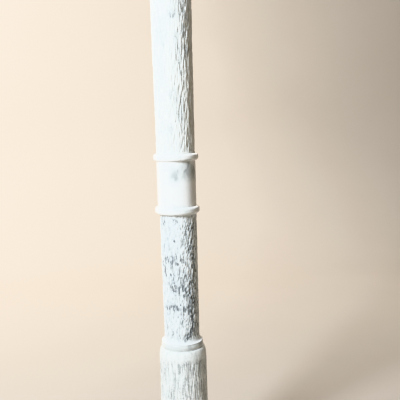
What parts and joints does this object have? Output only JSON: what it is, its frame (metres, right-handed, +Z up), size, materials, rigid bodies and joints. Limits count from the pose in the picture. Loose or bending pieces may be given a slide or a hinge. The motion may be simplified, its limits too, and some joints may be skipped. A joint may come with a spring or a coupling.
{
  "type": "stacked marble column table lamp",
  "caption": "Slender table lamp: hand-tooled, grey-veined marble column with turned rings on a round base, brass socket, harp and finial, without bulb or shade.",
  "frame": {"origin": "middle of the underside of the felt, on the column's axis, at table level", "axes": "+Z up along the column, -Y towards the viewer and the switch knob, +Y towards the cord outlet, +X to the right in the plane of the harp"},
  "size_m": [0.16, 0.16, 1.0136],
  "materials": {
    "marble_polished": "polished white marble with soft grey veins",
    "marble_tooled": "white marble worked with long upright point-chisel strokes",
    "marble_veined": "point-chiselled marble, heavily veined in blue-grey",
    "felt": "dark green wool felt",
    "fibre": "pressed fibre gasket",
    "card": "waxed card sleeve",
    "zinc_steel": "zinc-plated steel",
    "brass_polished": "polished brass, slightly aged",
    "brass_shell": "satin brass-plated shell",
    "bright_metal": "bright nickel-plated contact metal",
    "phenolic": "moulded black phenolic",
    "black_plastic": "moulded black plastic"
  },
  "bodies": {
    "root": {"abacus": "marble_polished", "base_felt": "felt", "base_nut": "zinc_steel", "base_plinth": "marble_polished", "base_riser": "marble_polished", "base_washer": "zinc_steel", "bell_drum": "marble_tooled", "capital": "marble_tooled", "centre_contact": "bright_metal", "cord_bushing": "black_plastic", "drum_collar": "marble_polished", "foot_ring": "marble_polished", "gasket_above_base_plinth": "fibre", "gasket_above_base_riser": "fibre", "gasket_above_bell_drum": "fibre", "gasket_above_capital": "fibre", "gasket_above_drum_collar": "fibre", "gasket_above_foot_ring": "fibre", "gasket_above_lower_shaft": "fibre", "gasket_above_middle_band": "fibre", "gasket_above_top_collar": "fibre", "gasket_above_upper_shaft": "fibre", "harp_saddle": "zinc_steel", "insulating_sleeve": "card", "lock_nut": "zinc_steel", "lower_shaft": "marble_veined", "middle_band": "marble_polished", "neck_spacer": "brass_polished", "screw_shell": "bright_metal", "socket_cap": "brass_shell", "socket_shell": "brass_shell", "switch_body": "phenolic", "terminal_screws": "bright_metal", "threaded_rod": "zinc_steel", "top_collar": "marble_polished", "upper_shaft": "marble_tooled", "vase_cap": "brass_polished"},
    "switch_key": {"switch_stem": "bright_metal", "switch_knob": "black_plastic"},
    "harp": {"harp_wire": "brass_polished", "shade_seat_stud": "brass_polished"},
    "ferrule_left": {"harp_ferrule_left": "brass_polished"},
    "ferrule_right": {"harp_ferrule_right": "brass_polished"},
    "finial": {"finial": "brass_polished"}
  },
  "joints": [
    {"name": "switch_turn", "type": "hinge", "parent": "root", "child": "switch_key", "pos_m": [0, -0.0185, 0.79112], "axis": [0, -1, 0], "continuous": true},
    {"name": "harp_lift", "type": "slide", "parent": "root", "child": "harp", "axis": [0, 0, 1], "range_m": [0, 0.06]},
    {"name": "ferrule_left_slide", "type": "slide", "parent": "harp", "child": "ferrule_left", "axis": [0, 0, 1], "range_m": [0, 0.016]},
    {"name": "ferrule_right_slide", "type": "slide", "parent": "harp", "child": "ferrule_right", "axis": [0, 0, 1], "range_m": [0, 0.016]},
    {"name": "finial_lift", "type": "slide", "parent": "harp", "child": "finial", "axis": [0, 0, 1], "range_m": [0, 0.03]}
  ]
}
